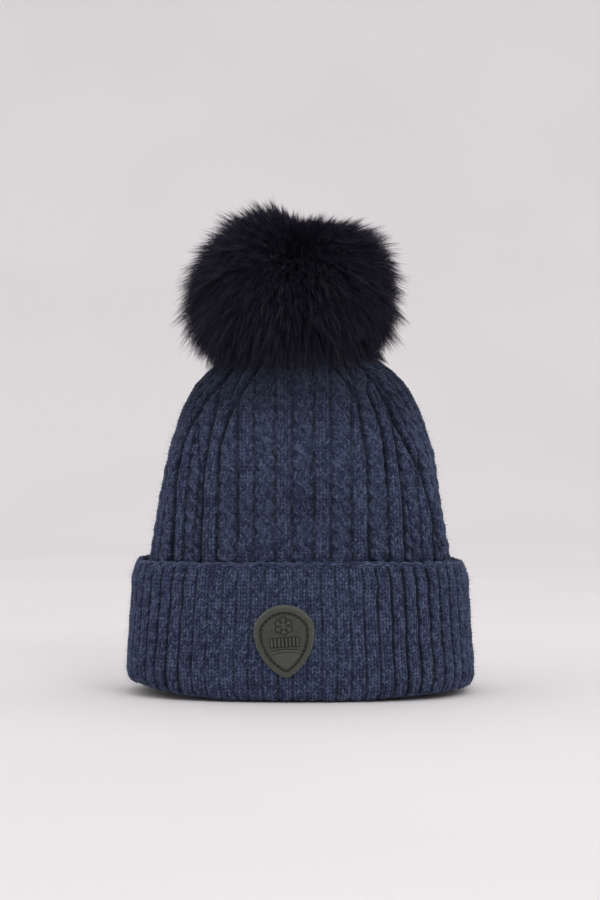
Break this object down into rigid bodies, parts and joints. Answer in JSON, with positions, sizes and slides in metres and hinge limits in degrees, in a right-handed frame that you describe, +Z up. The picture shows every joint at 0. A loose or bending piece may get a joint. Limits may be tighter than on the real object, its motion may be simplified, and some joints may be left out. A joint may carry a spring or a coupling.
{
  "type": "pom pom beanie",
  "caption": "Cable-knit winter beanie with a turned-up ribbed cuff, a stitched shield patch, a fleece lining and a large fur pom pom that snaps off.",
  "frame": {"origin": "middle of the hat's opening, in the plane of the cuff's fold that the hat stands on", "axes": "+Z up towards the pom pom, front with the shield patch towards -Y, +X to the viewer's right from the front"},
  "size_m": [0.218, 0.153, 0.307],
  "materials": {
    "navy_wool_knit": "rough marled wool yarn",
    "navy_yarn": "matte yarn",
    "grey_fleece": "brushed fleece",
    "dark_felt": "felt",
    "snap_steel": "satin nickel-plated steel",
    "olive_leather": "matte embossed leather",
    "patch_felt": "felt",
    "dark_thread": "waxed sewing thread",
    "label_tape": "woven satin tape",
    "grey_thread": "sewing thread",
    "black_suede": "suede",
    "black_hide": "hide",
    "white_wadding": "polyester wadding",
    "black_fur": "long soft fur"
  },
  "bodies": {
    "hat": {"crown_knit": "navy_wool_knit", "rib_cuff": "navy_wool_knit", "cuff_bind_off": "navy_wool_knit", "linking_seam": "navy_yarn", "back_seam": "navy_yarn", "crown_gather_yarn": "navy_yarn", "fleece_lining": "grey_fleece", "lining_seam": "navy_yarn", "crown_felt_disc": "dark_felt", "snap_post": "snap_steel", "snap_stud": "snap_steel", "shield_patch": "olive_leather", "patch_felt_backing": "patch_felt", "patch_stitching": "dark_thread", "label_tab": "label_tape", "label_stitching": "grey_thread"},
    "care_label": {"care_label": "label_tape"},
    "snap_spring": {"snap_ring_spring": "snap_steel"},
    "pompom": {"snap_socket": "snap_steel", "snap_cap": "snap_steel", "pompom_base_disc": "black_suede", "pompom_pelt": "black_hide", "pompom_drawcord": "dark_thread", "pompom_fill": "white_wadding", "pompom_fur": "black_fur"}
  },
  "joints": [
    {"name": "pompom_pull", "type": "slide", "parent": "hat", "child": "snap_spring", "axis": [0, 0, 1], "range_m": [0, 0.08]},
    {"name": "pompom_spin", "type": "hinge", "parent": "snap_spring", "child": "pompom", "pos_m": [0, 0, 0.226], "axis": [0, 0, 1], "continuous": true},
    {"name": "label_flap", "type": "hinge", "parent": "hat", "child": "care_label", "pos_m": [0, 0.05275, 0.072], "axis": [-1, 0, 0], "range_deg": [0, 75]}
  ]
}
